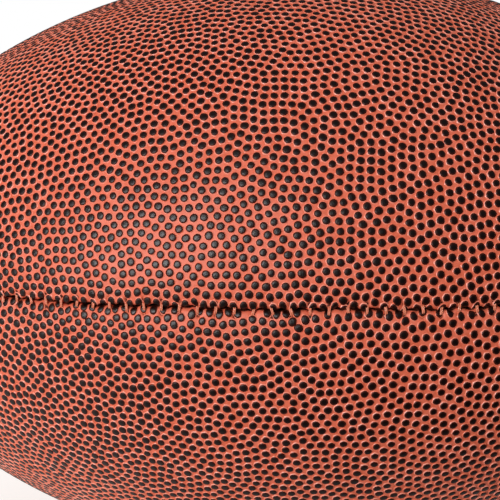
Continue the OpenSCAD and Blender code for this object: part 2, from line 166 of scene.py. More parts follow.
class FootballColours(bpy.types.PropertyGroup):
    """Colours of the ball."""
    leather: colour("Leather", (0.765, 0.158, 0.084), "Coral of the cover")
    leather_pale: colour("Pale leather", (0.82, 0.192, 0.117), "Lighter patches of the cover")
    leather_deep: colour("Deep leather", (0.63, 0.105, 0.044), "Deeper patches of the cover")
    # The pebbles' sides are paler than the leather between them, as a painted highlight; their three
    # tones differ at random
    skirt: colour("Skirt", (0.87, 0.240, 0.150), "Stretched leather round a pebble")
    skirt_pale: colour("Pale skirt", (0.93, 0.300, 0.205), "Lighter skirts")
    skirt_deep: colour("Deep skirt", (0.82, 0.190, 0.103), "Deeper skirts")
    pebble_top: colour("Pebble top", (0.0055, 0.0010, 0.0005), "Black lacquer on the pebbles")
    pebble_rim: colour("Pebble rim", (0.043, 0.0060, 0.0028), "Thin lacquer at the rim of the top")
    thread: colour("Thread", (0.95, 0.25, 0.125), "Sewing thread")
    lace: colour("Lace", (0.88, 0.87, 0.84), "Coated lace")
    lining: colour("Lining", (0.66, 0.60, 0.47), "Cotton lining")
    facing: colour("Facing", (0.11, 0.035, 0.022), "Leather behind the lace holes")
    rubber: colour("Rubber", (0.016, 0.016, 0.018), "Bladder and valve")
    plug: colour("Plug", (0.09, 0.09, 0.095), "Sealing plug of the valve")


class FootballStudio(bpy.types.PropertyGroup):
    """Light, floor and camera."""
    key_power: share("Key power", 9.3, "Power of the softbox in watts")
    key_length: length("Key length", 760, "Long side of the softbox")
    key_width: length("Key width", 260, "Short side of the softbox")
    key_slant: angle("Key slant", 45, "Angle of the long side above level")
    key_distance: length("Key distance", 1000, "Distance of the softbox from the ball")
    key_side: angle("Key side", 28.5, "Angle of the softbox to the left")
    key_lift: angle("Key lift", 8, "Angle of the softbox above level")
    fill: share("Fill", 0.34, "Strength of the light from above")
    sheen: share("Sheen", 0.14, "Strength of that light in a mirror")
    backdrop: share("Backdrop", 0.9, "Strength of the light from the backdrop")
    view_width: angle("View", 33.71, "Angle that the picture is wide")
    eye: FloatVectorProperty(name="Eye", description="Place of the camera", size=3,
                             default=(-3.4 * MM, -255.9 * MM, 117.15 * MM), subtype="TRANSLATION")
    yaw: angle("Yaw", -2.42, "Turn of the camera to the right of +Y")
    pitch: angle("Pitch", -6.30, "Tilt of the camera above level")
    roll: angle("Roll", 0.05, "Roll of the camera")


class Wire:
    """One output socket of a node tree. Sums, differences and products of wires add Math nodes."""

    def __init__(self, net, socket):
        self.net = net
        self.socket = socket

    def math(self, operation, first, second):
        """Math node on two values."""
        return self.net.add("ShaderNodeMath", {"operation": operation}, {0: first, 1: second})

    def __add__(self, other):
        return self.math("ADD", self, other)

    def __sub__(self, other):
        return self.math("SUBTRACT", self, other)

    def __rsub__(self, other):
        return self.math("SUBTRACT", other, self)

    def __mul__(self, other):
        return self.math("MULTIPLY", self, other)

    __radd__ = __add__
    __rmul__ = __mul__

    def larger(self, other):
        """The larger of two values."""
        return self.math("MAXIMUM", self, other)


class Net:
    """Node tree of a material or of the world."""

    def __init__(self, owner):
        owner.use_nodes = True
        self.owner = owner
        self.tree = owner.node_tree
        self.tree.nodes.clear()

    def add(self, kind, settings, inputs, output=0):
        """Adds a node: its settings first, then the values or wires of its sockets."""
        node = self.tree.nodes.new(kind)
        for name, value in settings.items():
            if name == "stops":
                self.set_stops(node.color_ramp, value)
            else:
                setattr(node, name, value)
        for name, value in inputs.items():
            if isinstance(value, Wire):
                self.tree.links.new(value.socket, node.inputs[name])
            else:
                node.inputs[name].default_value = value
        return Wire(self, node.outputs[output]) if len(node.outputs) else node

    @staticmethod
    def set_stops(ramp, stops):
        """Places and colours of a ramp's stops."""
        while len(ramp.elements) < len(stops):
            ramp.elements.new(1.0)
        for element, (position, shade) in zip(ramp.elements, stops):
            element.position = position
            element.color = opaque(shade)

    def place(self):
        """Object coordinates."""
        return self.add("ShaderNodeTexCoord", {}, {}, "Object")

    def along(self):
        """The piece's own map, round and along a strand."""
        return self.add("ShaderNodeUVMap", {"uv_map": "along"}, {})

    def axis(self, where, number):
        """One of the three coordinates of a place or direction."""
        return self.add("ShaderNodeSeparateXYZ", {}, {0: where}, number)

    def ray(self, kind):
        """1 for rays of one kind and 0 for all others."""
        return self.add("ShaderNodeLightPath", {}, {}, f"Is {kind} Ray")

    def noise(self, where, scale, detail=2.0, roughness=0.5):
        """Smooth noise between 0 and 1."""
        return self.add("ShaderNodeTexNoise", {}, {
            "Vector": where, "Scale": scale, "Detail": detail, "Roughness": roughness})

    def wave(self, where, direction, scale, distortion=0.0):
        """Bands between 0 and 1 that follow each other in one direction."""
        return self.add("ShaderNodeTexWave", {"bands_direction": direction},
                        {"Vector": where, "Scale": scale, "Distortion": distortion})

    def blend(self, amount, first, second):
        """Mix of two colours."""
        return self.add("ShaderNodeMix", {"data_type": "RGBA"},
                        {0: amount, 6: first, 7: second}, 2)

    def slope(self, value, start, end):
        """Smooth rise from 0 at the start to 1 at the end, whichever of the two is larger."""
        return self.add("ShaderNodeMapRange", {"interpolation_type": "SMOOTHSTEP"},
                        {0: value, 1: start, 2: end})

    def ramp(self, value, stops):
        """Grey or colour ramp over a value."""
        return self.add("ShaderNodeValToRGB", {"stops": stops}, {0: value})

    def bump(self, height, distance, strength):
        """Normal of a bumpy surface."""
        return self.add("ShaderNodeBump", {}, {
            "Strength": strength, "Distance": distance, "Height": height})

    def surface(self, inputs):
        """Principled shader on the material's output. Returns the finished material."""
        shader = self.add("ShaderNodeBsdfPrincipled", {}, inputs)
        self.add("ShaderNodeOutputMaterial", {}, {"Surface": shader})
        return self.owner


def material_net(name):
    """Empty node tree of a new material."""
    return Net(bpy.data.materials.new(name))


def opaque(rgb):
    """Colour with its alpha."""
    return (*rgb, 1.0)


def toned(rgb, factor, lift=0.0):
    """Colour times a factor plus a lift, at most 1."""
    return tuple(min(1.0, factor * c + lift) for c in rgb)


def leather_material(tones):
    """Coral composite leather: mottled colour, fine grain, near-black painted shade in the needle holes,
    and painted shade with some dirt down the seam's fold.
    """
    net = material_net("leather_finish")
    spot = net.place()
    patches = net.noise(spot, 260.0, 3.0, 0.6)
    flecks = net.noise(spot, 1500.0)
    grain = net.noise(spot, 3200.0, 3.0, 0.6)
    shade = net.ramp(patches * 0.55 + flecks * 0.45, [
        (0.30, tones.leather_deep), (0.50, tones.leather), (0.72, tones.leather_pale)])
    holes = net.add("ShaderNodeAttribute", {"attribute_name": "needle_hole"}, {}, "Fac")
    return net.surface({
        # Painted shade: near-black in the needle holes, and with some dirt down the seam's fold
        "Base Color": net.blend(holes, shade, opaque(toned(tones.leather_deep, 0.03))),
        "Roughness": 0.40 + 0.18 * flecks,
        "Specular IOR Level": 0.36,
        "Normal": net.bump(grain * 0.6 + flecks * 0.4, 0.06 * MM, 0.7),
    })


def pebble_material(name, tone, grain_scale, wear_scale, rough, wear, gloss, relief, strength):
    """One coat of the pebbles: an even tone with fine grain, whose roughness is a least value plus
    the wear times noise."""
    net = material_net(name)
    spot = net.place()
    return net.surface({
        "Base Color": opaque(tone),
        "Roughness": rough + wear * net.noise(spot, wear_scale),
        "Specular IOR Level": gloss,
        "Normal": net.bump(net.noise(spot, grain_scale), relief, strength),
    })


def pebble_finishes(tones):
    """Coats of the pebbles: near-black satin lacquer on top, a thin lacquer at its rim through which
    the coral shows as a dark red, and three tones of the bare coral side, which are paler than the
    leather between the pebbles as a painted highlight."""
    sides = {"pebble_side": tones.skirt, "pebble_side_pale": tones.skirt_pale,
             "pebble_side_deep": tones.skirt_deep}
    return [
        pebble_material("pebble_top_finish", tones.pebble_top, 2600.0, 420.0, 0.29, 0.14, 0.39,
                        0.07 * MM, 0.9),
        pebble_material("pebble_rim_finish", tones.pebble_rim, 2600.0, 2600.0, 0.36, 0.12, 0.24,
                        0.05 * MM, 0.6),
        *(pebble_material(name, tone, 1500.0, 1500.0, 0.25, 0.15, 0.60, 0.04 * MM, 0.6)
          for name, tone in sides.items())]


def thread_material(tones):
    """Waxed twisted thread: plies from a wave along the strand, darker in their grooves as painted
    shade and lighter and whiter on their crests as a painted highlight.
    """
    net = material_net("thread_finish")
    plies = net.wave(net.along(), "DIAGONAL", 3.0, 0.4)
    fuzz = net.noise(net.place(), 5200.0, 2.0, 0.6)
    return net.surface({
        # Painted shade in the grooves of the plies and a painted highlight on their crests
        "Base Color": net.ramp(plies * 0.7 + fuzz * 0.3, [
            (0.2, toned(tones.thread, 0.7)), (0.5, tones.thread),
            (0.85, toned(tones.thread, 1.15, 0.07))]),
        "Roughness": 0.22 + 0.2 * fuzz,
        "Coat Weight": 0.4,
        "Coat Roughness": 0.14,
        "Normal": net.bump(plies, 0.05 * MM, 0.8),
    })


def lace_material(tones):
    """White coated lace: a fine weave under the coat, and a colour that is darker where the weave and
    a fine grain are low.
    """
    net = material_net("lace_finish")
    cloth = net.along()
    weave = net.wave(cloth, "X", 1.6, 0.6) * net.wave(cloth, "Y", 1.6, 0.6)
    grain = net.noise(net.place(), 900.0, 3.0, 0.6)
    return net.surface({
        "Base Color": net.ramp(weave * 0.35 + grain * 0.65, [
            (0.18, toned(tones.lace, 0.74)), (0.5, tones.lace)]),
        "Roughness": 0.42 + 0.2 * grain,
        "Specular IOR Level": 0.4,
        "Normal": net.bump(weave * 0.7 + grain * 0.3, 0.12 * MM, 0.8),
    })


def lining_material(tones):
    """Plain woven cotton on Object coordinates."""
    net = material_net("cotton_lining")
    spot = net.place()
    weave = net.wave(spot, "X", 500.0) * net.wave(spot, "DIAGONAL", 500.0)
    return net.surface({
        "Base Color": net.ramp(weave, [(0.0, toned(tones.lining, 0.6)), (0.6, tones.lining)]),
        "Roughness": 0.85 + 0.1 * weave,
        "Normal": net.bump(weave, 0.15 * MM, 0.8),
    })


def moulded_material(name, tone, roughness, grain_scale):
    """Rubber or plain leather with a fine grain."""
    net = material_net(name)
    grain = net.noise(net.place(), grain_scale, 3.0, 0.6)
    return net.surface({
        "Base Color": net.ramp(grain, [(0.3, tone), (0.75, toned(tone, 1.25, 0.004))]),
        "Roughness": roughness - 0.1 + 0.2 * grain,
        "Specular IOR Level": 0.4,
        "Normal": net.bump(grain, 0.06 * MM, 0.6),
    })


class BallShape:
    """Outline of the ball: belly, shoulder and tip arcs that meet with no kink.

    The centre of the ball stands one radius above the ground.
    """

    def __init__(self, body):
        """The belly's arc passes the widest point and meets the shoulder's arc, whose centre lies x
        along the axis and d below that point. So its radius is (x^2 + d^2 - r^2) / (2 (d - r)),
        where r is the shoulder's radius."""
        self.radius = body.diameter / 2
        self.tip_r = body.tip_radius
        self.shoulder_r = body.shoulder_radius
        self.tip_angle = body.tip_angle
        self.tip_x = body.long_axis / 2 - self.tip_r
        reach = self.shoulder_r - self.tip_r
        self.shoulder_x = self.tip_x - reach * math.cos(self.tip_angle)
        self.shoulder_y = -reach * math.sin(self.tip_angle)
        drop = self.radius - self.shoulder_y
        self.belly_r = ((self.shoulder_x ** 2 + drop ** 2 - self.shoulder_r ** 2)
                        / (2 * (drop - self.shoulder_r)))
        self.belly_y = self.radius - self.belly_r
        self.shoulder_angle = math.atan2(self.shoulder_y - self.belly_y, self.shoulder_x)
        self.belly_run = (QUARTER_TURN - self.shoulder_angle) * self.belly_r
        self.shoulder_run = (self.shoulder_angle - self.tip_angle) * self.shoulder_r
        self.half_seam = self.belly_run + self.shoulder_run + self.tip_angle * self.tip_r

    def normal_angle(self, place):
        """Angle of the outline's normal from the long axis: a quarter turn at the middle of the
        belly, falling with the run over each arc's radius."""
        run = np.abs(place)
        past_belly = run - self.belly_run
        past_shoulder = past_belly - self.shoulder_run
        return np.select(
            [past_belly < 0, past_shoulder < 0],
            [QUARTER_TURN - run / self.belly_r, self.shoulder_angle - past_belly / self.shoulder_r],
            self.tip_angle - past_shoulder / self.tip_r)

    def outline(self, place, depth=0.0):
        """Distance along the axis and from the axis: arc centre plus (arc radius - depth) times
        the normal."""
        slant = self.normal_angle(place)
        arcs = [slant < self.tip_angle, slant < self.shoulder_angle]
        centre_x = np.select(arcs, [self.tip_x, self.shoulder_x], 0.0)
        centre_y = np.select(arcs, [0.0, self.shoulder_y], self.belly_y)
        radius = np.select(arcs, [self.tip_r, self.shoulder_r], self.belly_r)
        x = centre_x + (radius - depth) * np.cos(slant)
        return np.sign(place) * x, centre_y + (radius - depth) * np.sin(slant)

    def place_of(self, x, distance):
        """Place of the outline nearest to a point, from the angle about the arc's centre."""
        far = np.abs(x)
        belly = np.arctan2(distance - self.belly_y, far)
        shoulder = np.arctan2(distance - self.shoulder_y, far - self.shoulder_x)
        tip = np.arctan2(distance, far - self.tip_x)
        run = np.select(
            [belly >= self.shoulder_angle, shoulder >= self.tip_angle],
            [(QUARTER_TURN - belly) * self.belly_r,
             self.belly_run + (self.shoulder_angle - shoulder) * self.shoulder_r],
            self.belly_run + self.shoulder_run + (self.tip_angle - tip) * self.tip_r)
        return np.sign(x) * run

    def on_belly(self, place, turn, height):
        """Point over the belly and its directions along and across the ball. Turn is the angle
        about the long axis from the top."""
        lean = place / self.belly_r
        out = self.belly_y + (self.belly_r + height) * np.cos(lean)
        spot = np.stack([(self.belly_r + height) * np.sin(lean), out * np.sin(turn),
                         out * np.cos(turn)], -1)
        along = np.stack([np.cos(lean), -np.sin(lean) * np.sin(turn), -np.sin(lean) * np.cos(turn)], -1)
        across = np.stack([0 * lean, np.cos(turn), -np.sin(turn)], -1)
        return spot, along, across


def lift(points, shape):
    """Moves points from the ball's centre to the frame, where the belly rests on the ground. Near a
    seam they also wander a little sideways with it, faded out by a bell across the seam."""
    x, y, z = points.T
    wander = sum(high * np.sin(x / wave + phase) for high, wave, phase in WANDER) * MM
    across, upright = (wander * np.exp(-(off / WANDER_REACH) ** 2) for off in (y, z))
    return points + np.stack([0 * x, across, upright + shape.radius], -1)


def stitch_places(shape, stitches, skip=0.0):
    """Places of the stitches along a seam: half a pitch off the middle, clear of both tips and of a
    middle stretch."""
    half = math.ceil(shape.half_seam / stitches.pitch)
    places = (np.arange(-half, half) + 0.5) * stitches.pitch
    reach = np.abs(places)
    return places[(reach < shape.half_seam - stitches.tip_reserve) & (reach > skip)]


def lacing_row(lace):
    """Place of the last crossing: half the pitch for each crossing after the first."""
    return (lace.crossings - 1) * lace.pitch / 2


class Leather:
    """Surface of one quarter of the cover with its rolled and drawn-in edges.

    The quarter is modelled at positive Y and Z and mirrored into place. Width is the distance from
    the nearer seam plane, measured on the surface, and goes on below zero down the turned-in edge.
    """

    # How far from the seam the gape and the pull of a stitch fade, and that pull's reach along it
    gape_fade, pull_fade, pull_reach = 1.4 * MM, 1.1 * MM, 0.6 * MM
    # Lengths over a turn of the two waves that make the gape uneven, and how much they do
    long_wave, short_wave, unevenness = 2.7 * MM, 1.9 * MM, 0.5
    # Step along the surface by which its normal is found
    normal_step = 0.05 * MM

    def __init__(self, scene):
        self.body = scene.football_body
        self.stitches = scene.football_stitches
        self.shape = BallShape(self.body)
        self.level_places = stitch_places(self.shape, self.stitches)

    def nearest_stitch(self, place):
        """Distance along the seam to the nearest stitch, large past the last stitch."""
        pitch = self.stitches.pitch
        off = place - (np.floor(place / pitch) + 0.5) * pitch
        return np.where(np.abs(place) < self.level_places.max() + pitch / 2, off, pitch)

    def taper(self, place):
        """Share of the edge sizes that is left near a tip: the distance from the axis over the fade
        radius, at most 1."""
        return np.clip(self.shape.outline(place)[1] / self.body.fade, 1e-4, 1.0)

    def edge_section(self, place, width):
        """Distance from the seam plane and depth below the ball's surface.

        Width beyond the lip stays as it is. On the lip the surface is an arc, and below it runs
        straight down. An exponential draws the surface in at the seam, and a bell at each stitch
        pulls it further.
        """
        body = self.body
        taper = self.taper(place)
        stitch = self.nearest_stitch(place)
        lip = body.lip * taper
        shoulder = (body.edge + body.lip) * taper
        run = np.maximum(shoulder - width, 0.0)
        roll = np.minimum(run / lip, QUARTER_TURN)
        below = np.maximum(run - lip * QUARTER_TURN, 0.0)
        off = np.where(run > 0, shoulder - lip * np.sin(roll), width)
        between = np.sin(math.pi * stitch / self.stitches.pitch) ** 2
        uneven = 1 + self.unevenness * np.sin(place / self.long_wave) * np.sin(place / self.short_wave)
        off = off + body.gape * uneven * taper * between * np.exp(-np.maximum(off, 0) / self.gape_fade)
        drawn = body.draw_depth * taper * np.exp(-off / (body.draw_width * (0.15 + 0.85 * taper)))
        bell = np.exp(-0.5 * (stitch / self.pull_reach) ** 2)
        pulled = self.stitches.pull * bell * np.exp(-off / self.pull_fade)
        return off, lip * (1 - np.cos(roll)) + below + drawn + pulled

    def spot(self, place, off, depth, level):
        """Point at a distance from one seam plane and a depth below the surface. The other distance
        follows from the distance to the axis."""
        x, distance = self.shape.outline(place, depth)
        rest = np.sqrt(np.maximum(distance ** 2 - off ** 2, 0.0))
        return np.stack([x + 0 * off, np.where(level, rest, off), np.where(level, off, rest)], -1)

    def point(self, place, turn):
        """Point of the outer surface at a place and turn."""
        level = turn < QUARTER_TURN / 2
        width = self.shape.outline(place)[1] * np.sin(np.where(level, turn, QUARTER_TURN - turn))
        return self.spot(place, *self.edge_section(place, width), level)

    def raised(self, place, turn, height):
        """Point a height above the surface and the normal there, from two small steps on it."""
        side = self.normal_step / np.maximum(self.shape.outline(place)[1], MM)
        ahead, behind = place + self.normal_step, place - self.normal_step
        along = self.point(ahead, turn) - self.point(behind, turn)
        across = self.point(place, turn + side) - self.point(place, turn - side)
        normal = np.cross(across, along)
        base = self.point(place, turn)
        out = base * np.array([0.0, 1.0, 1.0])
        normal *= np.sign(np.sum(normal * out, -1, keepdims=True))
        normal /= np.maximum(np.linalg.norm(normal, axis=-1, keepdims=True), 1e-12)
        return base + normal * height[..., None], normal


def into_panel(points, signs, shape):
    """Mirrors a quarter into its panel and lifts it into the frame."""
    return lift(points.reshape(-1, 3) * np.array([1.0, *signs]), shape)


def link(name, data):
    """New object in the scene."""
    made = bpy.data.objects.new(name, data)
    bpy.context.scene.collection.objects.link(made)
    return made


def new_piece(name, points, faces, materials, slots=None, uv=None, flat=0, normals=None):
    """Mesh piece from points and a list of face arrays with the same number of corners in each. The
    UV belongs to the first of the arrays, and the last of all the faces may be flat.

    The faces are turned round where the enclosed volume, a sum of a . (b x c) over their triangles,
    comes out negative.
    """
    middle = points.mean(0)
    volume = 0.0
    for f in faces:
        for k in range(1, f.shape[1] - 1):
            a, b, c = (points[f[:, j]] - middle for j in (0, k, k + 1))
            volume += np.einsum("ij,ij->", a, np.cross(b, c))
    if volume < 0:
        if uv is not None:
            uv = uv.reshape(*faces[0].shape, 2)[:, ::-1].reshape(-1, 2)
        faces = [f[:, ::-1] for f in faces]
    corners = np.concatenate([f.ravel() for f in faces])
    totals = np.concatenate([np.full(len(f), f.shape[1]) for f in faces])
    mesh = bpy.data.meshes.new(name)
    mesh.vertices.add(len(points))
    mesh.vertices.foreach_set("co", points.astype(np.float32).ravel())
    mesh.loops.add(len(corners))
    mesh.loops.foreach_set("vertex_index", corners.astype(np.int32))
    mesh.polygons.add(len(totals))
    mesh.polygons.foreach_set("loop_start", (np.cumsum(totals) - totals).astype(np.int32))
    for material in materials:
        mesh.materials.append(material)
    if slots is not None:
        mesh.polygons.foreach_set("material_index", slots.astype(np.int32))
    if uv is not None:
        uv = np.concatenate([uv, np.zeros((len(corners) - len(uv), 2))])
        mesh.uv_layers.new(name="along").data.foreach_set("uv", uv.astype(np.float32).ravel())
    mesh.update(calc_edges=True)
    mesh.polygons.foreach_set("use_smooth", np.arange(len(totals)) < len(totals) - flat)
    mesh.validate()
    if normals is not None:
        mesh.normals_split_custom_set_from_vertices(normals.tolist())
    return link(name, mesh)


def tube_faces(rings, sides, start=0):
    """Quads of a tube whose rings of points follow each other, and its two end caps."""
    i = np.arange(rings - 1)[:, None] * sides
    j = np.arange(sides)
    k = (j + 1) % sides
    quads = np.stack([i + j, i + k, i + k + sides, i + j + sides], -1).reshape(-1, 4)
    return quads + start, np.stack([j[::-1], j + (rings - 1) * sides]) + start


def tube_mesh(tubes):
    """Points and faces of several tubes, each an array of rings of points. The quads of all of them
    come first, and then the caps."""
    faces, start = [], 0
    for tube in tubes:
        faces.append(tube_faces(*tube.shape[:2], start))
        start += tube.shape[0] * tube.shape[1]
    points = np.concatenate([tube.reshape(-1, 3) for tube in tubes])
    return points, [np.concatenate(kind) for kind in zip(*faces)]


def tube_uv(centres, sides, scale):
    """UV of a tube's quads: round the tube, and the run over its ring centres times a scale."""
    faces = tube_faces(len(centres), sides)[0]
    run = np.concatenate([[0], np.cumsum(np.linalg.norm(np.diff(centres, axis=0), axis=1))])
    u = faces % sides / sides
    u = np.where((u == 0) & (faces % sides != faces[:, :1] % sides) & (u[:, :1] > 0.5), 1.0, u)
    return np.stack([u, run[faces // sides] * scale], -1).reshape(-1, 2)


def circle(sides):
    """Angles of a ring's points."""
    return np.linspace(0, FULL_TURN, sides, endpoint=False)


def cover_stations(leather):
    """Places of the cross sections: eight for each stitch, closer at its hole, and rings at the
    tips that come closer to the pole."""
    shares = np.array([-0.5, -0.3, -0.14, -0.06, 0.0, 0.06, 0.14, 0.3])
    tip_rings, pole_radius = 14, 0.3 * MM
    sewn = (leather.level_places[:, None] + shares * leather.stitches.pitch).ravel()
    left = leather.shape.half_seam - sewn.max() - pole_radius
    tip = sewn.max() + left * np.sin(np.linspace(0, QUARTER_TURN, tip_rings + 1)[1:])
    return np.concatenate([-tip[::-1], sewn, tip])


def cover_points(leather):
    """Closed cross sections of a panel: up the face of the turned-in edge, over the lip, round the
    ball to the other seam, and back on the inside. Also a painted shade for each point: dark in the
    needle holes, which are steep-sided pits, and down the seam's fold, where it also stands for some
    dirt."""
    body = leather.body
    pit_depth, pit_radius, pit_length = 0.6 * MM, 0.32 * MM, 1.5
    fold_width, fold_shade = 0.3 * MM, 0.8
    place = cover_stations(leather)[:, None]
    taper = leather.taper(place)
    lip_run = QUARTER_TURN * body.lip
    shoulder = body.edge + body.lip
    face = body.allowance - body.lip
    widths = np.concatenate([
        shoulder - lip_run - face * np.array([1.0, 0.5, 0.15]),
        shoulder - lip_run * np.array([1.0, 0.8, 0.6, 0.45, 0.3, 0.15]),
        shoulder + np.array([0.0, 0.12, 0.25, 0.42, 0.6, 0.8, 1.1, 1.7, 2.8, 4.6, 7.2]) * MM])
    width = widths * taper
    off, depth = leather.edge_section(place, width)
    near = np.hypot(leather.nearest_stitch(place), (width - leather.stitches.hole_reach) / pit_length)
    hole = np.exp(-0.5 * (near / pit_radius) ** 4)
    depth = depth + pit_depth * hole
    # Painted shade: full in the needle holes, and 0.8 of it down the seam's fold, with some dirt there
    folded = np.clip((shoulder - 0.9 * lip_run - widths) / fold_width + 0.5, 0, 1)
    shade = np.maximum(hole, fold_shade * folded)
    last_turn = np.arcsin(np.clip(width[:, -1:] / leather.shape.outline(place)[1], 0, 0.7))
    turn = last_turn + (QUARTER_TURN - 2 * last_turn) * np.linspace(0, 1, 20)[1:-1]
    inside_off = (body.edge + body.leather) * taper
    inside_depth = np.array([1.0, 0.55, 0.36]) * body.allowance * taper
    inner_turn = np.linspace(0.06, 0.94, 14)[::-1] * QUARTER_TURN
    x, inner = leather.shape.outline(place, body.leather * taper)
    sections = np.concatenate([
        leather.spot(place, off, depth, True),
        leather.point(place, turn),
        leather.spot(place, off, depth, False)[:, ::-1],
        leather.spot(place, inside_off, inside_depth, False),
        np.stack([x + 0 * inner_turn, inner * np.cos(inner_turn), inner * np.sin(inner_turn)], -1),
        leather.spot(place, inside_off, inside_depth, True)[:, ::-1]], 1)
    inside = np.zeros((len(place), sections.shape[1] - 2 * len(widths) - turn.shape[1]))
    return sections, np.concatenate([shade, 0 * turn, shade[:, ::-1], inside], 1)


def cover_holes(lace, shape, signs):
    """Holes of a panel: place, turn from the top, diameter, and the bare rim that the pebbles leave.
    The upper panels have the lace holes, and the upper rear one has the valve's as well."""
    if signs[1] < 0:
        return []
    size = (lace.width + 2 * lace.clearance, 0.8 * MM)
    row, side = lacing_row(lace), lace.span / 2 / shape.radius
    holes = [(i * lace.pitch - row, s * side, *size) for i in range(lace.crossings) for s in (-1, 1)]
    holes += [(s * (row + lace.end_reach), 0.0, *size) for s in (-1, 1)]
    if signs[0] > 0:
        holes.append((0.0, lace.valve_angle, lace.valve_hole, 0.9 * MM))
    return holes


def hole_cutter(holes, shape):
    """Closed cylinders across the leather, from below its inner face to above the outer one. A ring
    is its middle plus the radius times the cosine along the ball and the sine across it."""
    ring = circle(CUTTER_SIDES)[:, None]
    levels = np.array([-7 * MM, 4 * MM])
    tubes = []
    for place, turn, diameter, _ in holes:
        middles, along, across = shape.on_belly(place, turn, levels)
        tubes.append(middles[:, None] + diameter / 2 * (np.cos(ring) * along + np.sin(ring) * across))
    points, faces = tube_mesh(tubes)
    return new_piece("lace_hole_cutter", lift(points, shape), faces, [])


def cut_away(piece, tool):
    """Cuts one piece with another, which is then removed."""
    cut = piece.modifiers.new("holes", "BOOLEAN")
    cut.operation = "DIFFERENCE"
    cut.solver = "EXACT"
    cut.object = tool
    bpy.context.view_layer.update()
    done = piece.evaluated_get(bpy.context.evaluated_depsgraph_get())
    old, mesh = piece.data, bpy.data.meshes.new_from_object(done)
    piece.modifiers.remove(cut)
    piece.data = mesh
    bpy.data.meshes.remove(old)
    bpy.data.objects.remove(tool)


class FOOTBALL_OT_covers(bpy.types.Operator):
    """Builds the four sewn panels of the cover"""
    bl_idname = "football.covers"
    bl_label = "Cover panels"

    def execute(self, context):
        scene = context.scene
        leather = Leather(scene)
        finish = leather_material(scene.football_colours)
        sections, painted_shade = cover_points(leather)
        points, faces = tube_mesh([sections])
        for panel, signs in PANELS.items():
            piece = new_piece(panel + "_panel", into_panel(points, signs, leather.shape), faces, [finish])
            # Painted shade of the needle holes and the seam's fold, read by the leather's colour
            marks = piece.data.attributes.new("needle_hole", "FLOAT", "POINT")
            marks.data.foreach_set("value", painted_shade.ravel().astype(np.float32))
            holes = cover_holes(scene.football_lace, leather.shape, signs)
            if holes:
                cut_away(piece, hole_cutter(holes, leather.shape))
            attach(piece, "root")
            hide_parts(panel + "_cover")
        return {"FINISHED"}


def scatter(shape, pebbles, seed):
    """Evenly scattered spots on a quarter of the ball and its seam margins.

    Random spots push each other apart along the surface for some rounds. Each pair nearer than the
    cut-off is pushed by the square of one minus its distance over the cut-off. The spots are sorted
    along the ball, so that a pair is at most a few hundred steps apart in the list.
    """
    margin = 3.5 * MM
    cut, shove = 1.6 * pebbles.pitch, 0.4 * pebbles.pitch
    rng = np.random.default_rng(seed)
    place = np.linspace(-shape.half_seam, shape.half_seam, 800)
    distance = shape.outline(place)[1]
    total = np.concatenate([[0], np.cumsum((distance[1:] + distance[:-1]) / 2 * np.diff(place))])
    number = int(FULL_TURN * total[-1] / (pebbles.pitch ** 2 * math.sqrt(3) / 2))
    run = np.interp(rng.random(number) * total[-1], total, place)
    turn = rng.random(number) * 2 * math.pi
    x, distance = shape.outline(run)
    spots = np.stack([x, distance * np.cos(turn), distance * np.sin(turn)], -1)
    spots = spots[(spots[:, 1] > -margin) & (spots[:, 2] > -margin)]
    for _ in range(pebbles.rounds):
        spots = spots[np.argsort(spots[:, 0])]
        move = np.zeros_like(spots)
        step = 1
        while True:
            gap = spots[step:] - spots[:-step]
            if not (gap[:, 0] < cut).any():
                break
            far = np.sqrt(np.einsum("ij,ij->i", gap, gap)) + 1e-9
            push = gap * (np.clip(1 - far / cut, 0, None) ** 2 / far)[:, None]
            move[step:] += push
            move[:-step] -= push
            step += 1
        spots = spots + move * shove
        spots[:, 1:] = np.maximum(spots[:, 1:], -margin)
        flat = np.hypot(spots[:, 1], spots[:, 2])
        run = np.clip(shape.place_of(spots[:, 0], flat), -shape.half_seam, shape.half_seam)
        x, distance = shape.outline(run)
        spots = np.stack([x, spots[:, 1] * distance / flat, spots[:, 2] * distance / flat], -1)
    return run, np.arctan2(spots[:, 2], spots[:, 1])


def clear_of_holes(place, turn, holes, shape):
    """True where a spot lies outside every hole and its bare rim. Turn is measured from the level
    seam, and a hole's turn from the top."""
    clear = np.ones(len(place), bool)
    for hole_place, hole_turn, diameter, rim in holes:
        across = (QUARTER_TURN - turn - hole_turn) * shape.radius
        clear &= np.hypot(place - hole_place, across) > diameter / 2 + rim
    return clear


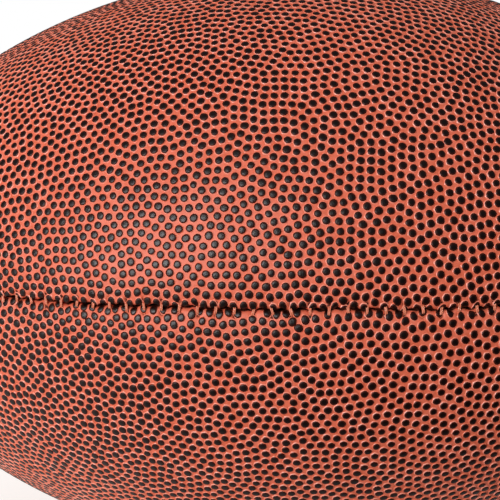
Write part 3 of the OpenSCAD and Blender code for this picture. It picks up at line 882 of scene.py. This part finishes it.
def pebble_points(leather, pebbles, place, turn, seed):
    """Rings of every pebble and their normals: a foot at the surface, the rim of the dark top, its
    crown and its middle. The rim has all sides, and foot and crown have every second one.

    The radius wobbles a little round each pebble and the rings follow the leather. A ring's normal
    leans outwards by its own angle, so that the top is shaded as a flat dome with a round edge.
    """
    rng = np.random.default_rng(seed)
    number, sides = len(place), pebbles.sides

    def spread(deviation, shape):
        """Normal draws round 0, none further off than two standard deviations."""
        return deviation * rng.standard_normal(shape).clip(-2, 2)

    size = (1 + spread(pebbles.spread, number))[:, None]
    oval = spread(OVAL_SPREAD, number)[:, None]
    lean = (rng.random(number) * math.pi)[:, None]
    start = (rng.random(number) * 2 * math.pi)[:, None]
    wobble = 1 + spread(WOBBLE_SPREAD, (number, sides))
    corners = np.arange(sides)
    # Foot, rim and crown: the corners that their points stand on, their heights as shares of the
    # pebble's, and how far their normals lean outwards
    ring = np.repeat([0, 1, 2], [sides // 2, sides, sides // 2])
    corner = np.concatenate([corners[::2], corners, corners[1::2]])
    heights = np.array([-0.12, 0.68, 0.96])[ring]
    lean_out = np.radians([20.0, 52.0, 9.0])[ring][:, None]
    around = 2 * math.pi * corner / sides + start
    distance = leather.shape.outline(place)[1]
    width = distance * np.sin(np.minimum(turn, QUARTER_TURN - turn))
    # Pebbles at a seam are narrower along it and wider across it, and lower on its edge
    wide_reach, low_reach = 1.6 * MM, 1.2 * MM
    narrowing, widening, lowering = 0.10, 0.22, 0.55
    edge = np.exp(-np.maximum(width, 0) / wide_reach)[:, None]
    low = 1 - lowering * np.clip(0.5 - width / low_reach, 0, 1)
    radius = np.array([pebbles.foot, pebbles.top, pebbles.crown])[ring] * size
    radius = radius * wobble[:, corner] * (1 + oval * np.cos(2 * (around - lean)))
    rings, upright = leather.raised(
        place[:, None] + radius * np.cos(around) * (1 - narrowing * edge),
        turn[:, None] + radius * np.sin(around) * (1 + widening * edge) / distance[:, None],
        heights * pebbles.height * low[:, None])
    middle, straight = leather.raised(place, turn, low * pebbles.height)
    away = rings - middle[:, None]
    away -= upright * np.sum(away * upright, -1, keepdims=True)
    away /= np.linalg.norm(away, axis=-1, keepdims=True)
    normals = upright * np.cos(lean_out) + away * np.sin(lean_out)
    return (np.concatenate([rings, middle[:, None]], 1),
            np.concatenate([normals, straight[:, None]], 1))


def pebble_faces(sides, tones):
    """Faces of many pebbles. Slot 0 is the dark top and slot 1 its rim, and each pebble's side takes
    the slot of its own tone. The feet come last, one for each pebble."""
    half = sides // 2
    foot = np.arange(half)
    next_foot = (foot + 1) % half
    rim, mid_rim, next_rim = (half + (2 * foot + i) % sides for i in range(3))
    crown, next_crown = half + sides + foot, half + sides + next_foot
    middle = np.full(half, 2 * sides)

    def triangles(*rows):
        """Triangles from their first, second and third corners."""
        return np.concatenate([np.stack(row, -1) for row in rows])

    side = triangles((foot, mid_rim, rim), (foot, next_foot, mid_rim), (next_foot, next_rim, mid_rim))
    band = triangles((rim, mid_rim, crown), (mid_rim, next_rim, crown), (next_rim, next_crown, crown))
    top = triangles((crown, next_crown, middle))
    base = np.arange(len(tones))[:, None, None] * (2 * sides + 1)
    faces = [(f + base).reshape(-1, f.shape[1]) for f in (side, band, top, foot[None])]
    slots = np.concatenate([np.repeat(tones, len(side)), np.ones(len(faces[1]), int),
                            np.zeros(len(faces[2]), int), tones])
    return faces, slots


class FOOTBALL_OT_pebbles(bpy.types.Operator):
    """Covers the panels with pebbles that have dark tops"""
    bl_idname = "football.pebbles"
    bl_label = "Pebbles"

    def execute(self, context):
        scene = context.scene
        pebbles, leather = scene.football_pebbles, Leather(scene)
        shape = leather.shape
        finishes = pebble_finishes(scene.football_colours)
        for number, (panel, signs) in enumerate(PANELS.items()):
            place, turn = scatter(shape, pebbles, SCATTER_SEED + number)
            distance = shape.outline(place)[1]
            # Least distance from both seams, where the upper pebbles reach a little over, and from a tip
            bare = -0.35 * MM if signs[1] > 0 else 0.1 * MM
            keep = (distance * np.sin(turn) > bare) & (distance * np.cos(turn) > bare)
            keep &= distance > 3.2 * MM
            keep &= clear_of_holes(place, turn, cover_holes(scene.football_lace, shape, signs), shape)
            place, turn = place[keep], turn[keep]
            points, normals = pebble_points(leather, pebbles, place, turn, SHAPE_SEED + number)
            tones = np.random.default_rng(TONE_SEED + number).integers(2, 5, len(place))
            for end, chosen in (("left", place < 0), ("right", place >= 0)):
                faces, slots = pebble_faces(pebbles.sides, tones[chosen])
                piece = new_piece(
                    f"{panel}_pebbles_{end}", into_panel(points[chosen], signs, shape), faces, finishes,
                    slots, flat=len(tones[chosen]),
                    normals=normals[chosen].reshape(-1, 3) * np.array([1.0, *signs]))
                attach(piece, "root")
        return {"FINISHED"}


def stitch_path(leather, places, near_reach, far_reach, lean):
    """Path of one thread, stitch by stitch: along behind the turned-in edge, up through its hole,
    across the seam, round the other thread's loop and back.

    The reaches are the distances from the seam plane at which each stitch dives on this side and on
    the other. Each knot is written as a step along the seam, a distance from the seam plane, a share
    of the stitch's lean and a depth. The first three, without a lean, lie behind the edge. The others
    have their depth from the leather below, mixed from both sides.
    """
    stitches = leather.stitches
    strand, pitch = stitches.strand, stitches.pitch
    half = 0.5 * strand
    near_top, far_top = (leather.edge_section(places, reach)[1] - 0.2 * strand
                         for reach in (near_reach, far_reach))
    knots = [
        (-0.5 * pitch, stitches.run_offset, None, stitches.run_depth),
        (-0.2 * pitch, stitches.run_offset, None, stitches.run_depth),
        (-0.09 * pitch, 0.85 * stitches.run_offset, None, 0.86 * stitches.run_depth),
        (-1.0 * half, near_reach + 1.3 * strand, 0.55, 2.2 * strand),
        (-1.0 * half, near_reach + 0.35 * strand, 0.5, 0.35 * strand),
        (-1.0 * half, 0.62 * near_reach, 0.3, -0.42 * strand),
        (-0.95 * half, 0.1 * near_reach, 0.0, -0.35 * strand),
        (-0.8 * half, -0.55 * far_reach, -0.5, -0.05 * strand),
    ]
    path = []
    for step, off, slant, depth in knots + [(-step, *rest) for step, *rest in knots[:0:-1]]:
        off = off + np.zeros(len(places))
        if slant is None:
            path.append(leather.spot(places + step, off, depth, True))
        else:
            mix = np.clip(0.5 - off / (near_reach + far_reach), 0, 1)
            down = near_top * (1 - mix) + far_top * mix + depth
            path.append(leather.spot(places + step + slant * lean, off, down, True))
    return np.stack(path, 1)


def sweep(path, radius, sides):
    """Tube along many paths at once. The frame is carried along step by step: the last side vector
    loses its part along the new direction."""
    way = (np.concatenate([path[:, 1:], path[:, -1:]], 1)
           - np.concatenate([path[:, :1], path[:, :-1]], 1))
    way /= np.linalg.norm(way, axis=-1, keepdims=True)
    side = np.cross(way[:, 0], path[:, 0] * np.array([0.0, 1.0, 1.0]))
    ring = circle(sides)[:, None]
    rings = []
    for k in range(path.shape[1]):
        side = side - way[:, k] * np.sum(side * way[:, k], -1, keepdims=True)
        side /= np.linalg.norm(side, axis=-1, keepdims=True)
        up = np.cross(way[:, k], side)
        rings.append(path[:, k, None] + radius * (np.cos(ring) * side[:, None]
                                                  + np.sin(ring) * up[:, None]))
    return np.stack(rings, 1)


class FOOTBALL_OT_threads(bpy.types.Operator):
    """Sews the four seams, each with a needle thread and a bobbin thread"""
    bl_idname = "football.threads"
    bl_label = "Stitching"

    def execute(self, context):
        scene = context.scene
        leather, lace = Leather(scene), scene.football_lace
        shape, stitches = leather.shape, leather.stitches
        finish = thread_material(scene.football_colours)
        # Half the length of seam that the lacing takes up, and a stitch more
        skip = (lacing_row(lace) + lace.end_reach + lace.tail + 2 * lace.clearance) + stitches.pitch
        # Name of each seam, sign of the side that it lies on, and whether it is upright
        seams = {"front": (-1, False), "rear": (1, False), "bottom": (-1, True), "top": (1, True)}
        for number, (seam, (side, upright)) in enumerate(seams.items()):
            places = stitch_places(shape, stitches, skip if seam == "top" else 0.0)
            # The lacing parts the thread of the top seam
            stretches = [places < 0, places > 0] if seam == "top" else [slice(None)]
            rng = np.random.default_rng(THREAD_SEED + number)
            lean = rng.normal(0, LEAN_SPREAD, len(places))
            reaches = [reach * rng.normal(1, REACH_SPREAD, len(places))
                       for reach in (stitches.needle_reach, stitches.bobbin_reach)]
            for thread, sign in (("needle", 1), ("bobbin", -1)):
                path = stitch_path(leather, places, *reaches[::sign], sign * lean)
                rings = sweep(path, stitches.strand / 2, THREAD_SIDES)
                tubes = [rings[stretch].reshape(-1, THREAD_SIDES, 3) for stretch in stretches]
                points, faces = tube_mesh(tubes)
                uv = np.concatenate([tube_uv(tube.mean(1), THREAD_SIDES, 1 / stitches.strand / 4)
                                     for tube in tubes])
                if upright:
                    points = points[:, [0, 2, 1]] * np.array([1.0, -sign, side])
                else:
                    points = points * np.array([1.0, side, sign])
                piece = new_piece(f"{seam}_{thread}_stitching", lift(points, shape), faces, [finish],
                                  uv=uv)
                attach(piece, "root")
                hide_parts(f"{seam}_{thread}_thread")
        return {"FINISHED"}


def lace_knots(lace):
    """Route of the lace, as in the frame: place along the ball, offset across the seam, height
    above the surface, and the angle of the lace's width. It comes up the end hole at the left, runs
    along the seam, goes down at the right and comes back in crossings over its own first run."""
    radius, offset = lace.bend, lace.span / 2
    level, inner = lace.clearance + lace.thickness / 2, -lace.inner_depth
    row, rise = lacing_row(lace), 1.5 * lace.thickness
    places = [row - i * lace.pitch for i in range(lace.crossings)]
    left, right = (np.array([s * (row + lace.end_reach), 0.0]) for s in (-1, 1))

    def spin_of(way):
        """Angle of the width on a run in some direction below the facing."""
        return math.degrees(math.atan2(way[1], way[0])) + 270

    def bend(hole, way, side, height, spin, inward=True):
        """Quarter bend at a hole, on four knots."""
        turns = np.radians([0, 30, 60, 90])[::1 if inward else -1]
        return [(*(hole + way * radius * (1 - math.cos(a))), height - side * radius * (1 - math.sin(a)),
                 spin) for a in turns]

    def run(start, end, side, height, spin, steps):
        """Level run between two holes, with a bend at each end."""
        way = (end - start) / np.linalg.norm(end - start)
        first, last = start + way * radius, end - way * radius
        middle = [(*(first + (last - first) * i / steps), height, spin) for i in range(1, steps)]
        return (bend(start, way, side, height, spin) + middle
                + bend(end, -way, side, height, spin, False))

    def slanted(start, end):
        """Run below the facing."""
        return run(start, end, -1, inner, spin_of(end - start), 2)

    def tail(hole, way, spin):
        """Tucked end."""
        return bend(hole, way, -1, inner, spin) + [(*(hole + way * lace.tail), inner, spin)]

    def crossing(place):
        """Run across the seam that climbs smoothly over the first run."""
        start, end = offset - radius, lace.width / 2 + lace.clearance
        climb = [(place, start + (end - start) * s, level + rise * s * s * (3 - 2 * s), 180.0)
                 for s in (0.35, 0.7, 1.0)]
        up = [(p, -o, h, s) for p, o, h, s in climb]
        here, there = np.array([place, -offset]), np.array([place, offset])
        return (bend(here, np.array([0.0, 1.0]), 1, level, 180.0) + up
                + [(place, 0.0, level + rise, 180.0)] + climb[::-1]
                + bend(there, np.array([0.0, -1.0]), 1, level, 180.0, False))

    knots = tail(left, np.array([-1.0, 0.0]), 90.0)[::-1]
    knots += run(left, right, 1, level, 90.0, 10)
    knots += slanted(right, np.array([places[0], -offset]))
    for i, place in enumerate(places):
        knots += crossing(place)
        if i < lace.crossings - 1:
            knots += slanted(np.array([place, offset]), np.array([places[i + 1], -offset]))
    way = np.array([-lace.end_reach / 2, -offset])
    way /= np.linalg.norm(way)
    return np.array(knots + tail(np.array([places[-1], offset]), way, spin_of(way)))


def smooth_path(knots, steps):
    """Catmull-Rom curve through knots, with a number of steps between each two."""
    p = np.concatenate([2 * knots[:1] - knots[1:2], knots, 2 * knots[-1:] - knots[-2:-1]])
    a, b, c, d = (p[i:len(p) - 3 + i, None] for i in range(4))
    t = (np.arange(steps) / steps)[None, :, None]
    curve = 0.5 * (2 * b + (c - a) * t + (2 * a - 5 * b + 4 * c - d) * t ** 2
                   + (3 * b - a - 3 * c + d) * t ** 3)
    return np.concatenate([curve.reshape(-1, knots.shape[1]), knots[-1:]])


class FOOTBALL_OT_lace(bpy.types.Operator):
    """Threads the lace through its holes"""
    bl_idname = "football.lace"
    bl_label = "Lace"

    def execute(self, context):
        scene = context.scene
        lace = scene.football_lace
        shape = BallShape(scene.football_body)
        knots = smooth_path(lace_knots(lace), 5)
        centre, along, across = shape.on_belly(knots[:, 0], knots[:, 1] / shape.radius, knots[:, 2])
        run = np.gradient(centre, axis=0)
        run /= np.linalg.norm(run, axis=1, keepdims=True)
        spin = np.radians(knots[:, 3:4])
        wide = along * np.cos(spin) + across * np.sin(spin)
        wide -= run * np.sum(wide * run, 1, keepdims=True)
        wide /= np.linalg.norm(wide, axis=1, keepdims=True)
        thick = np.cross(run, wide)
        # Flat section with round edges: a superellipse, a little thicker along its middle
        turn = circle(LACE_SIDES)
        flat = np.sign(np.cos(turn)) * np.abs(np.cos(turn)) ** 0.55
        high = np.sign(np.sin(turn)) * np.abs(np.sin(turn)) ** 0.5
        points, faces = tube_mesh([
            centre[:, None] + wide[:, None] * (flat * lace.width / 2)[:, None]
            + thick[:, None] * (high * lace.thickness / 2)[:, None]])
        # Bands of the weave for each turn round the lace and each such length of it
        bands = 12
        uv = tube_uv(centre, LACE_SIDES, 1 / (2 * (lace.width + lace.thickness))) * bands
        piece = new_piece("white_lace", lift(points, shape), faces,
                          [lace_material(scene.football_colours)], uv=uv)
        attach(piece, "root")
        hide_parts("lace")
        return {"FINISHED"}


class FOOTBALL_OT_inner_parts(bpy.types.Operator):
    """Gives the parts inside and the valve their materials"""
    bl_idname = "football.inner_parts"
    bl_label = "Lining, bladder and valve"

    def execute(self, context):
        tones = context.scene.football_colours
        lining = lining_material(tones)
        facing = moulded_material("plain_leather", tones.facing, 0.6, 900.0)
        rubber = moulded_material("black_rubber", tones.rubber, 0.5, 1400.0)
        plug = moulded_material("grey_rubber", tones.plug, 0.55, 1400.0)
        finishes = {panel + "_lining": lining for panel in PANELS}
        finishes.update({
            "front_lace_facing": facing, "rear_lace_facing": facing, "lace_tongue": facing,
            "bladder": rubber, "valve_body": rubber, "valve_plug": plug})
        for node, finish in finishes.items():
            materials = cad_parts[node].data.materials
            materials.clear()
            materials.append(finish)
        return {"FINISHED"}


def seen_white(net, bounced, white=1.0):
    """Strength of light that a ray sees: white from the camera or through glass, and a strength of
    its own for light that bounces."""
    return (net.ray("Camera").larger(net.ray("Transmission")) * white).larger(bounced)


def floor_material():
    """Warm white floor that keeps the ball's shadow and pales to white further off. On light that
    bounces it glows with a painted pool of light, bright at the left and behind the ball and dark in
    front and at the right, faded out as a painted shadow where it meets the ball."""
    net = material_net("studio_floor")
    spot = net.place()
    across, depth = net.axis(spot, 0), net.axis(spot, 1)
    away = net.add("ShaderNodeVectorMath", {"operation": "LENGTH"}, {0: spot}, 1)
    # Painted pool of light for bounced rays, with a painted shadow that fades it out near the ball
    painted_floor_light = 0.63 * net.slope(depth - 0.5 * across, -0.15, -0.02) * net.slope(away, 0.0, 0.1)
    shown = 0.66 + 0.26 * net.slope(away, 0.4, 1.8)
    pale = net.ramp(net.noise(spot, 3.0), [(0.0, (0.50, 0.49, 0.48)), (1.0, (0.54, 0.53, 0.52))])
    paint = net.add("ShaderNodeBsdfDiffuse", {}, {
        "Color": net.blend(net.ray("Camera"), (0.05, 0.05, 0.05, 1.0), pale)})
    glow = net.add("ShaderNodeEmission", {}, {
        "Color": (1.0, 0.982, 0.950, 1.0), "Strength": seen_white(net, painted_floor_light, shown)})
    both = net.add("ShaderNodeAddShader", {}, {0: paint, 1: glow})
    net.add("ShaderNodeOutputMaterial", {}, {"Surface": both})
    return net.owner


def studio_world(studio):
    """World that is white where it is seen and dim where it only lights."""
    net = Net(bpy.data.worlds.new("studio"))
    way = net.add("ShaderNodeTexCoord", {}, {}, "Generated")
    depth, rise = net.axis(way, 1), net.axis(way, 2)
    glossy, diffuse = net.ray("Glossy"), net.ray("Diffuse")
    mirrored = glossy * net.slope(depth, 0.2, 0.5) * net.slope(rise, 0.5, 0.1)
    above = (glossy * studio.sheen * net.slope(rise, -0.4, 0.7)
             + diffuse * studio.fill * net.slope(rise, -0.1, 0.7))
    behind = diffuse * net.slope(depth, 0.1, 0.9) * studio.backdrop
    sky = net.add("ShaderNodeBackground", {}, {
        "Color": (1.0, 1.0, 1.0, 1.0), "Strength": seen_white(net, mirrored).larger(above + behind)})
    net.add("ShaderNodeOutputWorld", {}, {"Surface": sky})
    return net.owner


def floor_plane():
    """Wide flat floor just under the pebbles."""
    half, low = 3.0, -0.5 * MM
    mesh = bpy.data.meshes.new("floor")
    mesh.from_pydata([(-half, -half, low), (half, -half, low), (half, half, low), (-half, half, low)],
                     [], [(0, 1, 2, 3)])
    mesh.materials.append(floor_material())
    return link("floor", mesh)


def heading(side, rise):
    """Direction at an angle to the right of +Y and an angle above level."""
    return Vector((math.sin(side) * math.cos(rise), math.cos(side) * math.cos(rise), math.sin(rise)))


def softbox(studio, target):
    """Long softbox that faces a point, with its long side slanted."""
    light = bpy.data.lights.new("softbox", "AREA")
    light.shape = "RECTANGLE"
    light.size, light.size_y = studio.key_length, studio.key_width
    light.energy = studio.key_power
    lamp = link("softbox", light)
    away = heading(math.pi + studio.key_side, studio.key_lift) * studio.key_distance
    lamp.location = target + away
    slant = Quaternion((0.0, 0.0, 1.0), studio.key_slant)
    lamp.rotation_euler = (away.to_track_quat("Z", "Y") @ slant).to_euler()


def photo_camera(studio):
    """Camera at the photograph's place, from its yaw, pitch and roll."""
    data = bpy.data.cameras.new("camera")
    data.sensor_fit = "HORIZONTAL"
    data.angle = studio.view_width
    data.clip_start = 0.01
    ahead = heading(studio.yaw, studio.pitch)
    right = Vector((math.cos(studio.yaw), -math.sin(studio.yaw), 0.0))
    turned = Matrix((right, right.cross(ahead), -ahead)).transposed()
    turned = turned @ Matrix.Rotation(-studio.roll, 3, "Z")
    camera = link("camera", data)
    camera.matrix_world = Matrix.Translation(Vector(studio.eye)) @ turned.to_4x4()
    return camera


class FOOTBALL_OT_studio(bpy.types.Operator):
    """Sets up floor, light and camera"""
    bl_idname = "football.studio"
    bl_label = "Studio"

    def execute(self, context):
        scene = context.scene
        studio = scene.football_studio
        floor = floor_plane()
        scene.world = studio_world(studio)
        softbox(studio, Vector((0.0, 0.0, BallShape(scene.football_body).radius)))
        scene.camera = photo_camera(studio)
        scene.view_settings.view_transform = "Standard"
        return {"FINISHED"}


class FOOTBALL_PT_panel(bpy.types.Panel):
    """Lists the steps that dress the football"""
    bl_idname = "FOOTBALL_PT_panel"
    bl_label = "American Football"
    bl_space_type = "VIEW_3D"
    bl_region_type = "UI"
    bl_category = "Football"

    def draw(self, context):
        for step in STEPS:
            self.layout.operator(step.bl_idname)


STEPS = (
    FOOTBALL_OT_studio,
    FOOTBALL_OT_covers,
    FOOTBALL_OT_pebbles,
    FOOTBALL_OT_threads,
    FOOTBALL_OT_lace,
    FOOTBALL_OT_inner_parts,
)
GROUPS = {
    "football_body": FootballBody,
    "football_pebbles": FootballPebbles,
    "football_stitches": FootballStitches,
    "football_lace": FootballLace,
    "football_colours": FootballColours,
    "football_studio": FootballStudio,
}
CLASSES = (*GROUPS.values(), *STEPS, FOOTBALL_PT_panel)


def register():
    """Registers the classes and hangs the groups of settings on the scene."""
    for one in CLASSES:
        bpy.utils.register_class(one)
    for name, group in GROUPS.items():
        setattr(bpy.types.Scene, name, PointerProperty(type=group))


def unregister():
    """Undoes what register does, in reverse order."""
    for name in GROUPS:
        delattr(bpy.types.Scene, name)
    for one in reversed(CLASSES):
        bpy.utils.unregister_class(one)


def main():
    """Builds the pieces in order."""
    register()
    bpy.ops.football.studio()
    bpy.ops.football.covers()
    bpy.ops.football.pebbles()
    bpy.ops.football.threads()
    bpy.ops.football.lace()
    bpy.ops.football.inner_parts()


if __name__ == "__main__":
    main()
